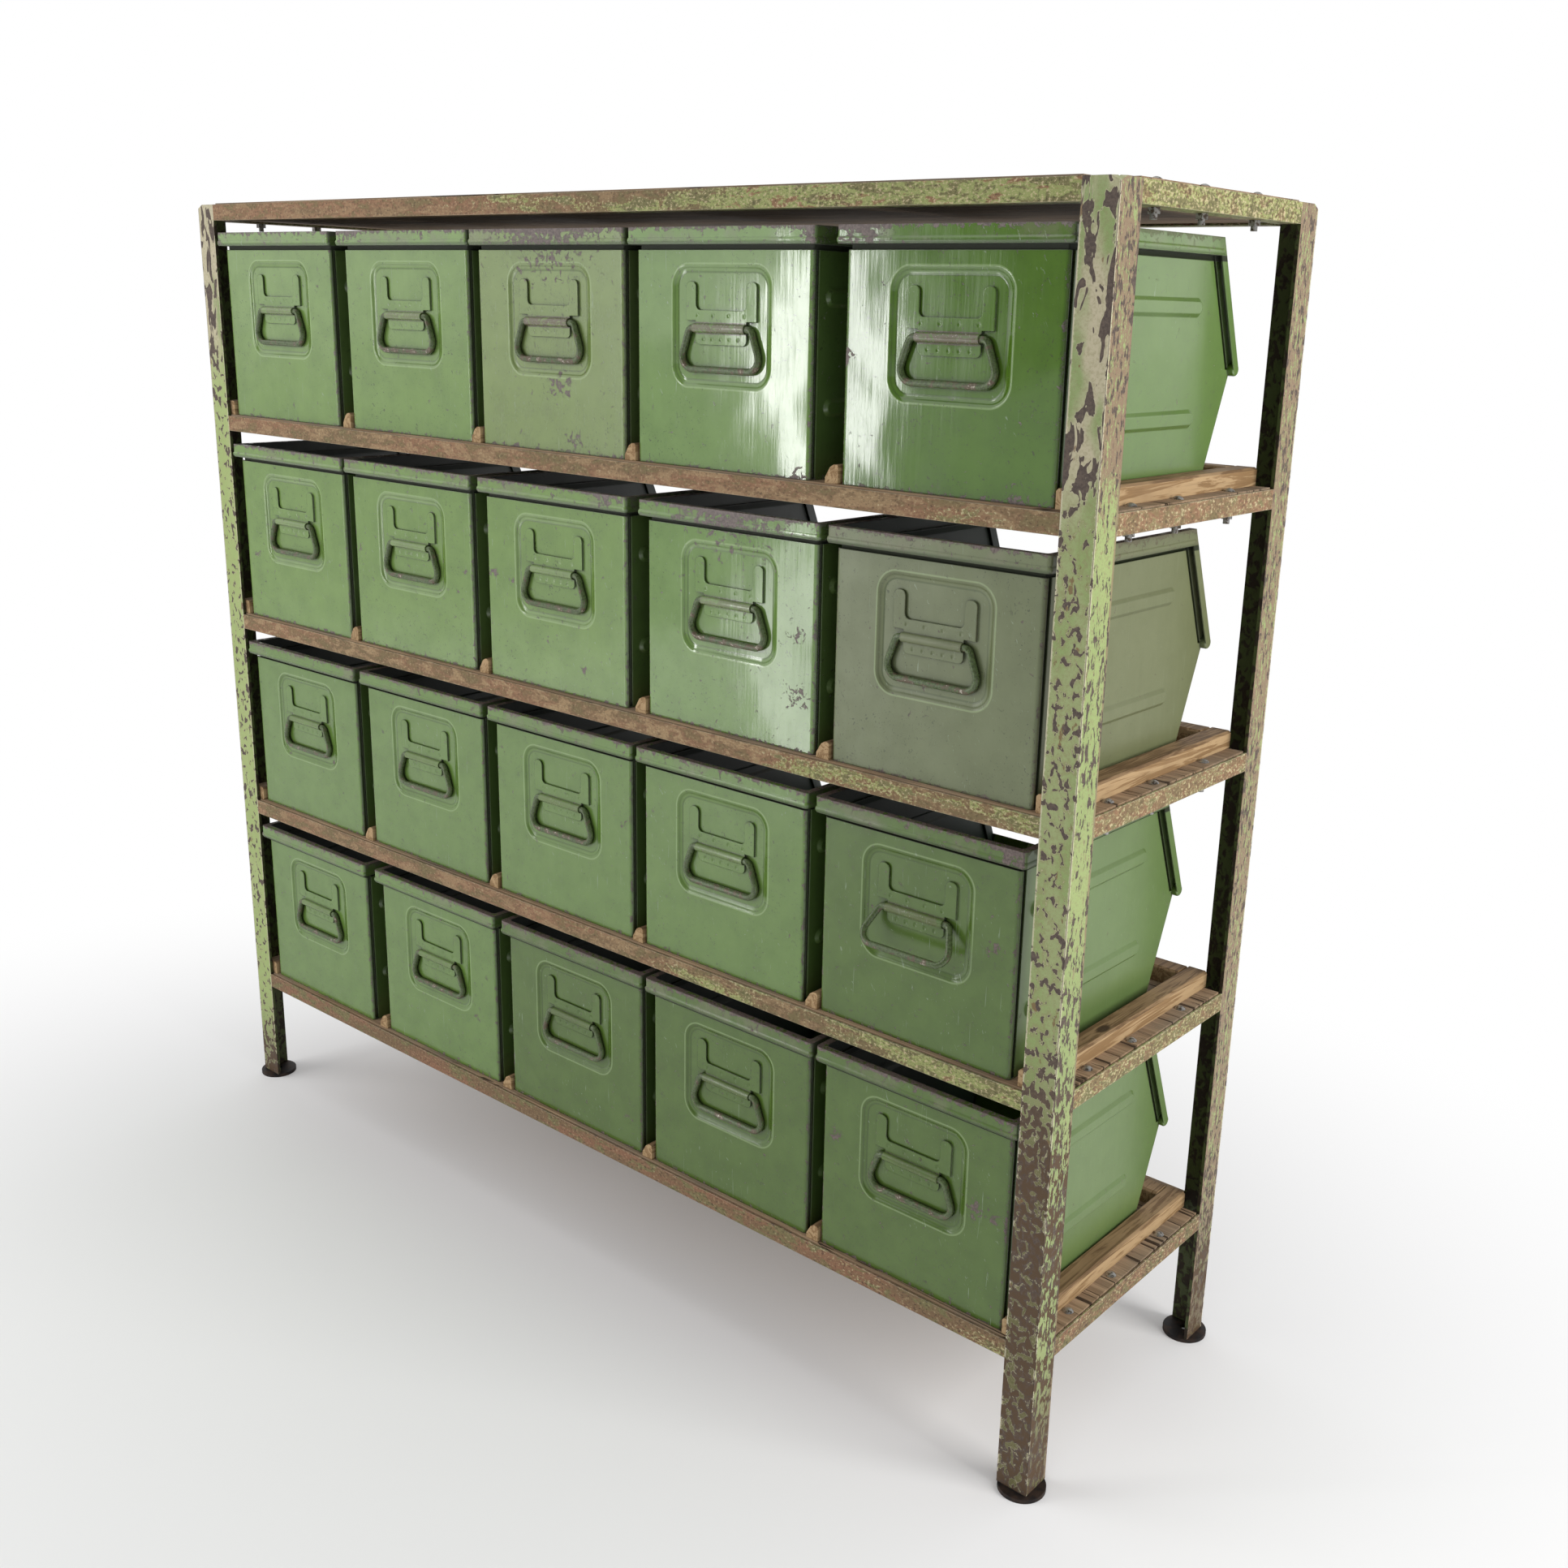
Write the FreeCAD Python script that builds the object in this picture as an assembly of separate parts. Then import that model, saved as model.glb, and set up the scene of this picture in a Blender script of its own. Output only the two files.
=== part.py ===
import FreeCAD, Part
import math
import os

# Storage rack of welded angle steel with plank shelves, twenty pressed steel
# bins and a hinged wire pull on each bin.
# Millimetres. X runs along the rack, Y from the front to the rear, Z up.
# The origin lies on the floor in the middle of the rack.

# Rack frame
rack_width = 1750.0
rack_depth = 476.0
post_leg = 45.0
post_wall = 5.0
post_heel_cut = 12.0
post_heel_drop = 6.0
foot_diameter = 63.0
foot_thickness = 6.0
foot_inset = 18.0
foot_hole_diameter = 12.0
rail_height = 25.0
rail_wall = 3.0
rail_ledge = 30.0

# Levels, each given by the top edge of its rails
first_shelf = 215.0
shelf_pitch = 344.0
top_step = 341.0
row_count = 4
column_count = 5

# Planks and battens
board_thickness = 24.0
board_count = 3
board_seam = 1.5
board_gap = 1.5
board_notch = 47.0
batten_height = 23.0
batten_bevel = 3.0
end_batten_width = 30.0
end_batten_inset = 26.0
# Width of a batten between two bins and its distance from the bin on its
# right, as shares of the gap between two neighbours
middle_batten_share = 0.64
middle_play_share = 0.03
# Its section, rounded off on the left: shares of its width and height
middle_section_shares = [
    (0.0, 0.0),
    (1.0, 0.0),
    (1.0, 0.9),
    (0.9, 1.0),
    (0.64, 1.0),
    (0.36, 0.84),
    (0.0, 0.3),
]
rear_batten_width = 30.0
batten_front = 3.5
end_batten_front = 1.8
rear_batten_inset = 43.0

# Carriage bolts at the plank ends
bolt_diameter = 8.0
bolt_hole_clearance = 0.3
bolt_head_diameter = 15.0
bolt_head_height = 4.0
bolt_inset = 18.0
bolt_tail = 6.0
nut_across_flats = 13.0
nut_height = 6.5
# Place of the bolt in each plank, front plank first, from its middle line
bolt_shift_shares = [0.14, -0.17, -0.33]

# Bin shell
bin_gap = 32.0
bin_end_play = 5.0
bin_headroom = 22.0
bin_rear_play = 61.0
bin_face_inset = 10.0
mouth_lean = 59.0
mouth_top_set_back = 5.0
mouth_low_share = 0.508
sheet = 1.5
bin_corner_radius = 6.0
rim_corner_radius = 5.0
rim_reach = 8.8
rim_height = 21.0
# Rolled bead along the foot of the rim
rim_bead_height = 9.0
rim_bead_rise = 1.2
rim_bead_round = 3.8
mouth_band_width = 13.0
lip_radius = 8.0
lip_round = 3.0
lip_drop = 8.0
lip_set_in = 6.0
# Drawn-in groove that frames the side walls and runs on under the rim
groove_width = 6.0
groove_depth = 4.0
groove_front = 4.0
# Distance that each bin stands from its even place, as a share of the gap
# between two neighbours: rows from the top down, columns from left to right
column_shift_shares = [
    [-0.09, 0.07, -0.22, -0.47, 0.06],
    [-0.09, -0.31, -0.22, 0.06, -0.03],
    [-0.03, 0.0, -0.03, -0.22, -0.28],
    [-0.06, 0.38, 0.5, 0.31, 0.09],
]

# Pressed side ribs
rib_height = 24.0
rib_crown_height = 13.0
rib_rise = 4.0
rib_front = 22.0
rib_rear_inset = 32.0
rib_level_shares = [0.29, 0.725]

# Pressed recess of the handle wall
recess_width = 170.0
recess_height = 150.0
recess_top_inset = 44.0
recess_depth = 2.5
recess_border = 10.0
recess_radius = 28.0

# Handle plate with its tunnel
plate_thickness = 3.0
card_slot_depth = 1.2
card_slot_reach = 9.0
card_slot_foot = 4.5
tunnel_wall = 1.5
plate_width = 120.0
plate_arm_width = 17.0
plate_tab_width = 87.0
plate_corner = 7.0
tunnel_length = 88.0
# Heights from the middle line of the tunnel
plate_arm_rise = 56.0
plate_notch_rise = 22.0
plate_fold_rise = 9.0
plate_tab_drop = 20.0
tunnel_drop = 2.0
# Spot welds
weld_diameter = 6.0
weld_depth = 0.8
weld_inset = 7.0
upper_weld_count = 4
lower_weld_count = 5

# Wire pull
wire_diameter = 8.5
running_fit = 0.08
wire_stand_off = 0.3
pull_top_width = 105.0
pull_bottom_width = 144.0
pull_drop = 50.5
pull_top_bend = 8.0
pull_bottom_bend = 16.0
# The one pull that hangs swung out: row and column counted from the top left
swung_row = 3
swung_column = 5
swung_angle = 30.0

# Length by which every cutter passes through what it cuts
overrun = 2.0
# Share of a length that counts as nothing
slack_share = 0.001

vector = FreeCAD.Vector
x_axis = vector(1, 0, 0)
y_axis = vector(0, 1, 0)
z_axis = vector(0, 0, 1)

top_level = first_shelf + (row_count - 1) * shelf_pitch + top_step
half_width = rack_width / 2
half_depth = rack_depth / 2

# Bin sizes that follow from the room in the rack
board_rise = board_thickness + rail_wall - rail_height
batten_room = rack_width - (end_batten_inset + end_batten_width) * 2
bin_width = (
    batten_room - bin_end_play * 2 - bin_gap * (column_count - 1)
) / column_count
column_pitch = bin_width + bin_gap
bin_height = shelf_pitch - rail_height - board_rise - bin_headroom
bin_base_length = (
    rack_depth - bin_face_inset - rear_batten_inset - rear_batten_width - bin_rear_play
)
mouth_low_reach = bin_base_length + mouth_lean
mouth_top_reach = bin_base_length - mouth_top_set_back
mouth_low_height = bin_height * mouth_low_share
lip_height = mouth_low_height - lip_drop
rib_rear = bin_base_length - rib_rear_inset
rib_levels = [bin_height * share for share in rib_level_shares]
recess_middle = bin_height - recess_top_inset - recess_height / 2
tunnel_height = recess_middle - tunnel_drop
plate_arm_top = tunnel_height + plate_arm_rise
plate_notch_bottom = tunnel_height + plate_notch_rise
plate_fold = tunnel_height + plate_fold_rise
plate_tab_bottom = tunnel_height - plate_tab_drop


def block(x_low, x_high, y_low, y_high, z_low, z_high):
    corner = vector(x_low, y_low, z_low)
    return Part.makeBox(x_high - x_low, y_high - y_low, z_high - z_low, corner)


def outline(points, radii=None):
    """Closed wire through the points, with a round of the given radius at each."""
    count = len(points)
    radii = radii or [0] * count
    starts = []
    ends = []
    middles = []
    for index in range(count):
        corner = points[index]
        to_last = (points[index - 1] - corner).normalize()
        to_next = (points[(index + 1) % count] - corner).normalize()
        half_angle = to_last.getAngle(to_next) / 2
        reach = radii[index] / math.tan(half_angle)
        bisector = (to_last + to_next).normalize()
        to_centre = radii[index] / math.sin(half_angle)
        starts.append(corner + to_last * reach)
        ends.append(corner + to_next * reach)
        middles.append(corner + bisector * (to_centre - radii[index]))
    edges = []
    for index in range(count):
        if radii[index] > 0:
            arc = Part.Arc(starts[index], middles[index], ends[index])
            edges.append(arc.toShape())
        edges.append(Part.makeLine(ends[index], starts[(index + 1) % count]))
    return Part.Wire(edges)


def prism(points, direction, radii=None):
    return Part.Face(outline(points, radii)).extrude(direction)


def save(name, solids):
    shape = solids[0] if len(solids) == 1 else Part.makeCompound(solids)
    shape.exportStep("parts/" + name + ".step")


def level_tops():
    """Rail tops of the shelves from the top row down."""
    return [first_shelf + (row_count - 1 - row) * shelf_pitch for row in range(row_count)]


# Rack frame

def corner_post(side_x, side_y):
    """Angle post with its heel outward and the top of the heel ground off."""
    heel = vector(side_x * half_width, side_y * half_depth, foot_thickness)
    along_x = vector(-side_x, 0, 0)
    along_y = vector(0, -side_y, 0)
    points = [
        heel,
        heel + along_x * post_leg,
        heel + along_x * post_leg + along_y * post_wall,
        heel + along_x * post_wall + along_y * post_wall,
        heel + along_x * post_wall + along_y * post_leg,
        heel + along_y * post_leg,
    ]
    post = prism(points, z_axis * (top_level - foot_thickness))
    heel_top = vector(heel.x, heel.y, top_level)
    diagonal = (along_x + along_y).normalize()
    crosswise = z_axis.cross(diagonal)
    cut_reach = post_heel_cut / math.sqrt(2)
    wedge_start = heel_top - crosswise * post_leg
    wedge = prism(
        [
            wedge_start + diagonal * cut_reach,
            wedge_start - z_axis * post_heel_drop,
            wedge_start - diagonal * overrun - z_axis * post_heel_drop,
            wedge_start - diagonal * overrun + z_axis * overrun,
            wedge_start + diagonal * cut_reach + z_axis * overrun,
        ],
        crosswise * (post_leg * 2),
    )
    return post.cut(wedge)


def foot_disc(side_x, side_y):
    centre = vector(
        side_x * (half_width - foot_inset), side_y * (half_depth - foot_inset), 0
    )
    disc = Part.makeCylinder(foot_diameter / 2, foot_thickness, centre)
    hole = Part.makeCylinder(
        foot_hole_diameter / 2,
        foot_thickness + overrun * 2,
        centre - z_axis * overrun,
    )
    return disc.cut(hole)


def long_rail(side_y, top):
    """Front or rear rail between the posts, with its ledge turned inward."""
    inward = vector(0, -side_y, 0)
    start = vector(-half_width + post_leg, side_y * half_depth, top)
    points = [
        start,
        start - z_axis * rail_height,
        start - z_axis * rail_height + inward * rail_ledge,
        start - z_axis * (rail_height - rail_wall) + inward * rail_ledge,
        start - z_axis * (rail_height - rail_wall) + inward * rail_wall,
        start + inward * rail_wall,
    ]
    return prism(points, x_axis * (rack_width - post_leg * 2))


def side_rail(side_x, top):
    """Rail at one end of the rack, drilled for the plank bolts."""
    inward = vector(-side_x, 0, 0)
    start = vector(side_x * half_width, -half_depth + post_leg, top)
    points = [
        start,
        start - z_axis * rail_height,
        start - z_axis * rail_height + inward * rail_ledge,
        start - z_axis * (rail_height - rail_wall) + inward * rail_ledge,
        start - z_axis * (rail_height - rail_wall) + inward * rail_wall,
        start + inward * rail_wall,
    ]
    rail = prism(points, y_axis * (rack_depth - post_leg * 2))
    for hole in bolt_holes(top, [side_x]):
        rail = rail.cut(hole)
    return rail


def rails(top):
    return [
        long_rail(-1, top),
        long_rail(1, top),
        side_rail(-1, top),
        side_rail(1, top),
    ]


# Planks and bolts

plank_space = rack_depth - (rail_wall + board_gap) * 2
plank_width = (plank_space - board_seam * (board_count - 1)) / board_count
plank_end = half_width - rail_wall - board_gap
bolt_x = half_width - bolt_inset


def plank_middle(number):
    return -plank_space / 2 + plank_width / 2 + number * (plank_width + board_seam)


def plank_bottom(top):
    return top - rail_height + rail_wall


def plank_top(top):
    return plank_bottom(top) + board_thickness


def bolt_places(sides):
    places = []
    for side_x in sides:
        for number in range(board_count):
            shift = bolt_shift_shares[number] * plank_width
            places.append((side_x * bolt_x, plank_middle(number) + shift))
    return places


def bolt_holes(top, sides):
    low = top - rail_height - overrun
    height = rail_height + board_thickness
    radius = bolt_diameter / 2 + bolt_hole_clearance
    return [
        Part.makeCylinder(radius, height, vector(x, y, low))
        for x, y in bolt_places(sides)
    ]


def planks(top):
    """Planks on the ledges, notched round the posts and drilled for the bolts."""
    low = plank_bottom(top)
    high = plank_top(top)
    solids = []
    for number in range(board_count):
        middle = plank_middle(number)
        plank = block(
            -plank_end,
            plank_end,
            middle - plank_width / 2,
            middle + plank_width / 2,
            low,
            high,
        )
        for side_x in (-1, 1):
            for side_y in (-1, 1):
                notch_x = side_x * (half_width - board_notch)
                notch_y = side_y * (half_depth - board_notch)
                notch = block(
                    min(notch_x, side_x * half_width),
                    max(notch_x, side_x * half_width),
                    min(notch_y, side_y * half_depth),
                    max(notch_y, side_y * half_depth),
                    low - overrun,
                    high + overrun,
                )
                plank = plank.cut(notch)
        for hole in bolt_holes(top, [-1, 1]):
            plank = plank.cut(hole)
        solids.append(plank)
    return solids


def carriage_bolt(x, y, top):
    """Round head and shank on the plank, as one revolved solid."""
    seat = plank_top(top)
    foot = top - rail_height - nut_height - bolt_tail
    shank = bolt_diameter / 2
    head = bolt_head_diameter / 2
    dome_radius = (head ** 2 + bolt_head_height ** 2) / (bolt_head_height * 2)
    dome_centre = seat + bolt_head_height - dome_radius
    half_reach = head / 2
    dome_side = dome_centre + math.sqrt(dome_radius ** 2 - half_reach ** 2)
    crown = vector(x, y, seat + bolt_head_height)
    dome = Part.Arc(
        vector(x + head, y, seat), vector(x + half_reach, y, dome_side), crown
    ).toShape()
    profile = Part.Wire([
        Part.makeLine(vector(x, y, foot), vector(x + shank, y, foot)),
        Part.makeLine(vector(x + shank, y, foot), vector(x + shank, y, seat)),
        Part.makeLine(vector(x + shank, y, seat), vector(x + head, y, seat)),
        dome,
        Part.makeLine(crown, vector(x, y, foot)),
    ])
    return Part.Face(profile).revolve(vector(x, y, 0), z_axis, 360)


def hex_nut(x, y, top):
    low = top - rail_height - nut_height
    corner_radius = nut_across_flats / math.sqrt(3)
    points = []
    for number in range(6):
        angle = math.radians(60 * number)
        points.append(vector(
            x + corner_radius * math.cos(angle),
            y + corner_radius * math.sin(angle),
            low,
        ))
    nut = prism(points, z_axis * nut_height)
    bore = Part.makeCylinder(
        bolt_diameter / 2, nut_height + overrun * 2, vector(x, y, low - overrun)
    )
    return nut.cut(bore)


# Bin places

def bin_middle(row, column):
    even_place = (column - (column_count - 1) / 2) * column_pitch
    return even_place + column_shift_shares[row][column] * bin_gap


def bin_face():
    return -half_depth + bin_face_inset


# Battens that part the bins

def bevelled_strip(x_low, x_high, y_low, y_high, low, along_y):
    """Strip of wood with both upper long edges bevelled."""
    high = low + batten_height
    if along_y:
        points = [
            vector(x_low, y_low, low),
            vector(x_high, y_low, low),
            vector(x_high, y_low, high - batten_bevel),
            vector(x_high - batten_bevel, y_low, high),
            vector(x_low + batten_bevel, y_low, high),
            vector(x_low, y_low, high - batten_bevel),
        ]
        return prism(points, y_axis * (y_high - y_low))
    points = [
        vector(x_low, y_low, low),
        vector(x_low, y_high, low),
        vector(x_low, y_high, high - batten_bevel),
        vector(x_low, y_high - batten_bevel, high),
        vector(x_low, y_low + batten_bevel, high),
        vector(x_low, y_low, high - batten_bevel),
    ]
    return prism(points, x_axis * (x_high - x_low))


def middle_batten(right_side, y_low, y_high, low):
    """Strip between two bins, rounded off on its upper left."""
    width = bin_gap * middle_batten_share
    points = [
        vector(
            right_side - width * (1 - across),
            y_low,
            low + batten_height * up,
        )
        for across, up in middle_section_shares
    ]
    return prism(points, y_axis * (y_high - y_low))


def battens(row, top):
    """One strip at each end, one between each two bins and one along the rear."""
    low = plank_top(top)
    front = -half_depth + rail_wall + batten_front
    rear_outer = half_depth - rear_batten_inset
    rear_inner = rear_outer - rear_batten_width
    outer = half_width - end_batten_inset
    inner = outer - end_batten_width
    end_front = -half_depth + post_wall + end_batten_front
    solids = [
        bevelled_strip(inner, outer, end_front, rear_outer, low, True),
        bevelled_strip(-outer, -inner, end_front, rear_outer, low, True),
        bevelled_strip(-inner, inner, rear_inner, rear_outer, low, False),
    ]
    for column in range(column_count - 1):
        bin_side = bin_middle(row, column + 1) - bin_width / 2
        right_side = bin_side - bin_gap * middle_play_share
        solids.append(middle_batten(right_side, front, rear_inner, low))
    return solids


# Bin shell

def side_prism(points, half_span, corner_radius):
    """Side outline drawn across the bin, with the two front upright edges rounded."""
    solid = prism(
        [vector(-half_span, y, z) for y, z in points], x_axis * (half_span * 2)
    )
    front = min(y for y, z in points)
    uprights = []
    for edge in solid.Edges:
        first, last = edge.Vertexes[0].Point, edge.Vertexes[-1].Point
        in_front = abs(first.y - front) + abs(last.y - front) < sheet
        if in_front and abs(first.x - last.x) < sheet and abs(first.z - last.z) > sheet:
            uprights.append(edge)
    return solid.makeFillet(corner_radius, uprights)


def mouth_slope():
    """Length run rearward per unit of height, going down the mouth edge."""
    return (mouth_low_reach - mouth_top_reach) / (bin_height - mouth_low_height)


def mouth_reach(height, inward):
    """Place of a line parallel to the mouth edge at a height."""
    return mouth_low_reach + (mouth_low_height - height) * mouth_slope() - inward


def open_shell():
    """Folded sheet body, open at the top and along the sloping mouth."""
    body = side_prism(
        [
            (0, 0),
            (bin_base_length, 0),
            (mouth_low_reach, mouth_low_height),
            (mouth_top_reach, bin_height),
            (0, bin_height),
        ],
        bin_width / 2,
        bin_corner_radius,
    )
    open_faces = []
    for face in body.Faces:
        normal = face.normalAt(0, 0)
        low = face.BoundBox.ZMin
        if normal.z > 0 and low > mouth_low_height - overrun:
            open_faces.append(face)
    shell = body.makeThickness(open_faces, -sheet, sheet * slack_share)
    return shell, body.cut(shell)


def band_points(gap, low_extra):
    """Outline of the turned edge: along the rim, then down the mouth."""
    rim_low = bin_height - rim_height - low_extra
    inner = mouth_band_width + low_extra
    return [
        (-rim_reach + gap, rim_low),
        (mouth_reach(rim_low, inner), rim_low),
        (mouth_reach(lip_height, inner), lip_height),
        (mouth_reach(lip_height, gap), lip_height),
        (mouth_reach(bin_height - gap, gap), bin_height - gap),
        (-rim_reach + gap, bin_height - gap),
    ]


def turned_edge(interior):
    """Sheet edge folded outward and down round the rim and the mouth sides."""
    span = bin_width / 2 + rim_reach
    outer = side_prism(band_points(0, 0), span, rim_corner_radius)
    hollow = side_prism(band_points(sheet, overrun), span - sheet, rim_corner_radius - sheet)
    return outer.cut(hollow).cut(interior)


def rim_bead(interior):
    """Rolled foot of the rim, round the front and both sides to the mouth band."""
    low = bin_height - rim_height
    high = low + rim_bead_height
    front = -rim_reach - rim_bead_rise
    inward = mouth_band_width / 2
    points = [
        (front, low),
        (mouth_reach(low, inward), low),
        (mouth_reach(high, inward), high),
        (front, high),
    ]
    span = bin_width / 2 + rim_reach + rim_bead_rise
    bead = side_prism(points, span, rim_corner_radius)
    rear = mouth_reach(high, inward) - sheet
    level_edges = []
    for edge in bead.Edges:
        box = edge.BoundBox
        if box.ZLength < sheet * slack_share and box.YMin < rear:
            level_edges.append(edge)
    return bead.makeFillet(rim_bead_round, level_edges).cut(interior)


def groove_block(inset, spread):
    """Strip under the rim and beside the mouth, with one more up each side wall."""
    high = bin_height - rim_height + spread
    low = high - groove_width - spread * 2
    mouth_outer = mouth_band_width - spread
    mouth_inner = mouth_band_width + groove_width + spread
    points = [
        (inset, low),
        (mouth_reach(low, mouth_inner), low),
        (mouth_reach(lip_height, mouth_inner), lip_height),
        (mouth_reach(lip_height, mouth_outer), lip_height),
        (mouth_reach(high, mouth_outer), high),
        (inset, high),
    ]
    span = bin_width / 2 - inset
    strip = side_prism(points, span, bin_corner_radius - inset)
    upright = block(
        -span,
        span,
        groove_front - spread,
        groove_front + groove_width + spread,
        -inset,
        (low + high) / 2,
    )
    return strip.fuse(upright)


def inner_block(inset):
    """Everything further in than the inset from the front and side walls."""
    span = bin_width / 2 - inset
    reach = mouth_low_reach
    points = [(inset, -overrun), (reach, -overrun), (reach, bin_height), (inset, bin_height)]
    return side_prism(points, span, bin_corner_radius - inset)


def lip_bar():
    """Rolled bead along the low edge of the mouth."""
    span = bin_width + rim_reach * 2
    centre = vector(-span / 2, mouth_reach(lip_height, lip_set_in), lip_height)
    bar = Part.makeCylinder(lip_radius, span, centre, x_axis)
    return bar.makeFillet(lip_round, [edge for edge in bar.Edges if len(edge.Vertexes) == 1])


def rounded_rectangle(width, height, radius, depth):
    low = recess_middle - height / 2
    high = recess_middle + height / 2
    points = [
        vector(-width / 2, depth, low),
        vector(width / 2, depth, low),
        vector(width / 2, depth, high),
        vector(-width / 2, depth, high),
    ]
    return outline(points, [radius] * 4)


def pressed_recess(offset, front, back):
    """Dished block whose sides slope in from the wall to the recess floor."""
    slope = recess_border / recess_depth
    wires = []
    for depth in (front, back):
        shrink = depth * slope - offset
        wires.append(rounded_rectangle(
            recess_width - shrink * 2,
            recess_height - shrink * 2,
            recess_radius - shrink,
            depth,
        ))
    return Part.makeLoft(wires, True, True)


def stadium(middle, height, x, front, rear):
    radius = height / 2 - height * slack_share
    points = [
        vector(x, front, middle - height / 2),
        vector(x, rear, middle - height / 2),
        vector(x, rear, middle + height / 2),
        vector(x, front, middle + height / 2),
    ]
    return outline(points, [radius] * 4)


def pressed_rib(side_x, level, inset, base_x, crown_x):
    """Long dished block with round ends on one side wall."""
    base_height = rib_height - inset * 2
    crown_height = rib_crown_height - inset * 2
    shrink = (base_height - crown_height) / 2
    base = stadium(level, base_height, side_x * base_x, rib_front + inset, rib_rear - inset)
    crown = stadium(
        level,
        crown_height,
        side_x * crown_x,
        rib_front + inset + shrink,
        rib_rear - inset - shrink,
    )
    return Part.makeLoft([base, crown], True, True)


def bin_shell():
    shell, interior = open_shell()
    bead = groove_block(0, sheet).cut(inner_block(groove_depth + sheet)).common(interior)
    groove = groove_block(-overrun, 0).cut(inner_block(groove_depth))
    shell = shell.fuse(bead).cut(groove)
    shell = shell.fuse(turned_edge(interior)).fuse(rim_bead(interior))
    shell = shell.fuse(lip_bar().cut(interior))
    shell = shell.fuse(pressed_recess(sheet, sheet / 2, recess_depth + sheet))
    shell = shell.cut(pressed_recess(0, -overrun, recess_depth))
    wall_x = bin_width / 2
    for side_x in (-1, 1):
        for level in rib_levels:
            outside = pressed_rib(side_x, level, 0, wall_x - sheet / 2, wall_x + rib_rise)
            inside = pressed_rib(
                side_x, level, sheet, wall_x - sheet * 2, wall_x + rib_rise - sheet
            )
            shell = shell.fuse(outside).cut(inside)
    return shell.removeSplitter().Solids[0]


# Handle plate and pull

def pull_axis():
    """Middle line of the tunnel, from the outside of the handle wall."""
    return recess_depth - wire_stand_off - wire_diameter / 2


def arch(radius, half_span):
    """Tunnel block: round outward, straight back to the recess floor."""
    centre_y = pull_axis()
    low = vector(-half_span, centre_y, tunnel_height - radius)
    high = vector(-half_span, centre_y, tunnel_height + radius)
    crown = vector(-half_span, centre_y - radius, tunnel_height)
    floor_low = vector(-half_span, recess_depth, tunnel_height - radius)
    floor_high = vector(-half_span, recess_depth, tunnel_height + radius)
    profile = Part.Wire([
        Part.Arc(low, crown, high).toShape(),
        Part.makeLine(high, floor_high),
        Part.makeLine(floor_high, floor_low),
        Part.makeLine(floor_low, low),
    ])
    return Part.Face(profile).extrude(x_axis * (half_span * 2))


def handle_plate():
    """Two armed plate welded in the recess, with a tunnel for the pull."""
    arm = plate_width / 2
    arm_inner = arm - plate_arm_width
    tab = plate_tab_width / 2
    front = recess_depth - plate_thickness
    corners = [
        (-tab, plate_tab_bottom, plate_corner),
        (tab, plate_tab_bottom, plate_corner),
        (tab, plate_fold, 0),
        (arm, plate_fold, 0),
        (arm, plate_arm_top, plate_corner),
        (arm_inner, plate_arm_top, plate_corner),
        (arm_inner, plate_notch_bottom, plate_corner),
        (-arm_inner, plate_notch_bottom, plate_corner),
        (-arm_inner, plate_arm_top, plate_corner),
        (-arm, plate_arm_top, plate_corner),
        (-arm, plate_fold, 0),
        (-tab, plate_fold, 0),
    ]
    plate = prism(
        [vector(x, front, z) for x, z, radius in corners],
        y_axis * plate_thickness,
        [radius for x, z, radius in corners],
    )
    bore_radius = wire_diameter / 2 + running_fit
    outer = arch(bore_radius + tunnel_wall, tunnel_length / 2)
    bore = arch(bore_radius, tunnel_length / 2 + overrun)
    card_half = arm_inner + card_slot_reach
    card_slot = block(
        -card_half,
        card_half,
        recess_depth - card_slot_depth,
        recess_depth + overrun,
        plate_notch_bottom - card_slot_foot,
        plate_arm_top + overrun,
    )
    plate = plate.fuse(outer).cut(bore).cut(card_slot)
    for dent in spot_welds():
        plate = plate.cut(dent)
    return plate.removeSplitter().Solids[0]


def spot_welds():
    """Balls that dent the plate in a row above the tunnel and one below."""
    ball_radius = (weld_diameter ** 2 / 4 + weld_depth ** 2) / (weld_depth * 2)
    centre_y = recess_depth - plate_thickness + weld_depth - ball_radius
    upper = (plate_fold + plate_notch_bottom) / 2
    lower = plate_tab_bottom + weld_inset
    rows = [
        (upper_weld_count, plate_width, upper),
        (lower_weld_count, plate_tab_width, lower),
    ]
    dents = []
    for count, width, height in rows:
        span = width - weld_inset * 2
        for number in range(count):
            x = -span / 2 + span * (number + 1 / 2) / count
            dents.append(Part.makeSphere(ball_radius, vector(x, centre_y, height)))
    return dents


def wire_pull(angle):
    """Closed wire loop whose upper side turns in the tunnel."""
    top = pull_top_width / 2
    bottom = pull_bottom_width / 2
    axis_y = pull_axis()
    points = [
        vector(-top, axis_y, tunnel_height),
        vector(top, axis_y, tunnel_height),
        vector(bottom, axis_y, tunnel_height - pull_drop),
        vector(-bottom, axis_y, tunnel_height - pull_drop),
    ]
    radii = [pull_top_bend, pull_top_bend, pull_bottom_bend, pull_bottom_bend]
    path = outline(points, radii)
    pieces = []
    for edge in path.Edges:
        start = edge.valueAt(edge.FirstParameter)
        tangent = edge.tangentAt(edge.FirstParameter)
        ring = Part.makeCircle(wire_diameter / 2, start, tangent)
        section = Part.Face(Part.Wire([ring]))
        if edge.Length > pull_drop * slack_share:
            pieces.append(sweep_piece(edge, section, start, tangent))
    loop = pieces[0].multiFuse(pieces[1:]).removeSplitter()
    loop.rotate(vector(0, axis_y, tunnel_height), x_axis, -angle)
    return loop.Solids[0]


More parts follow.
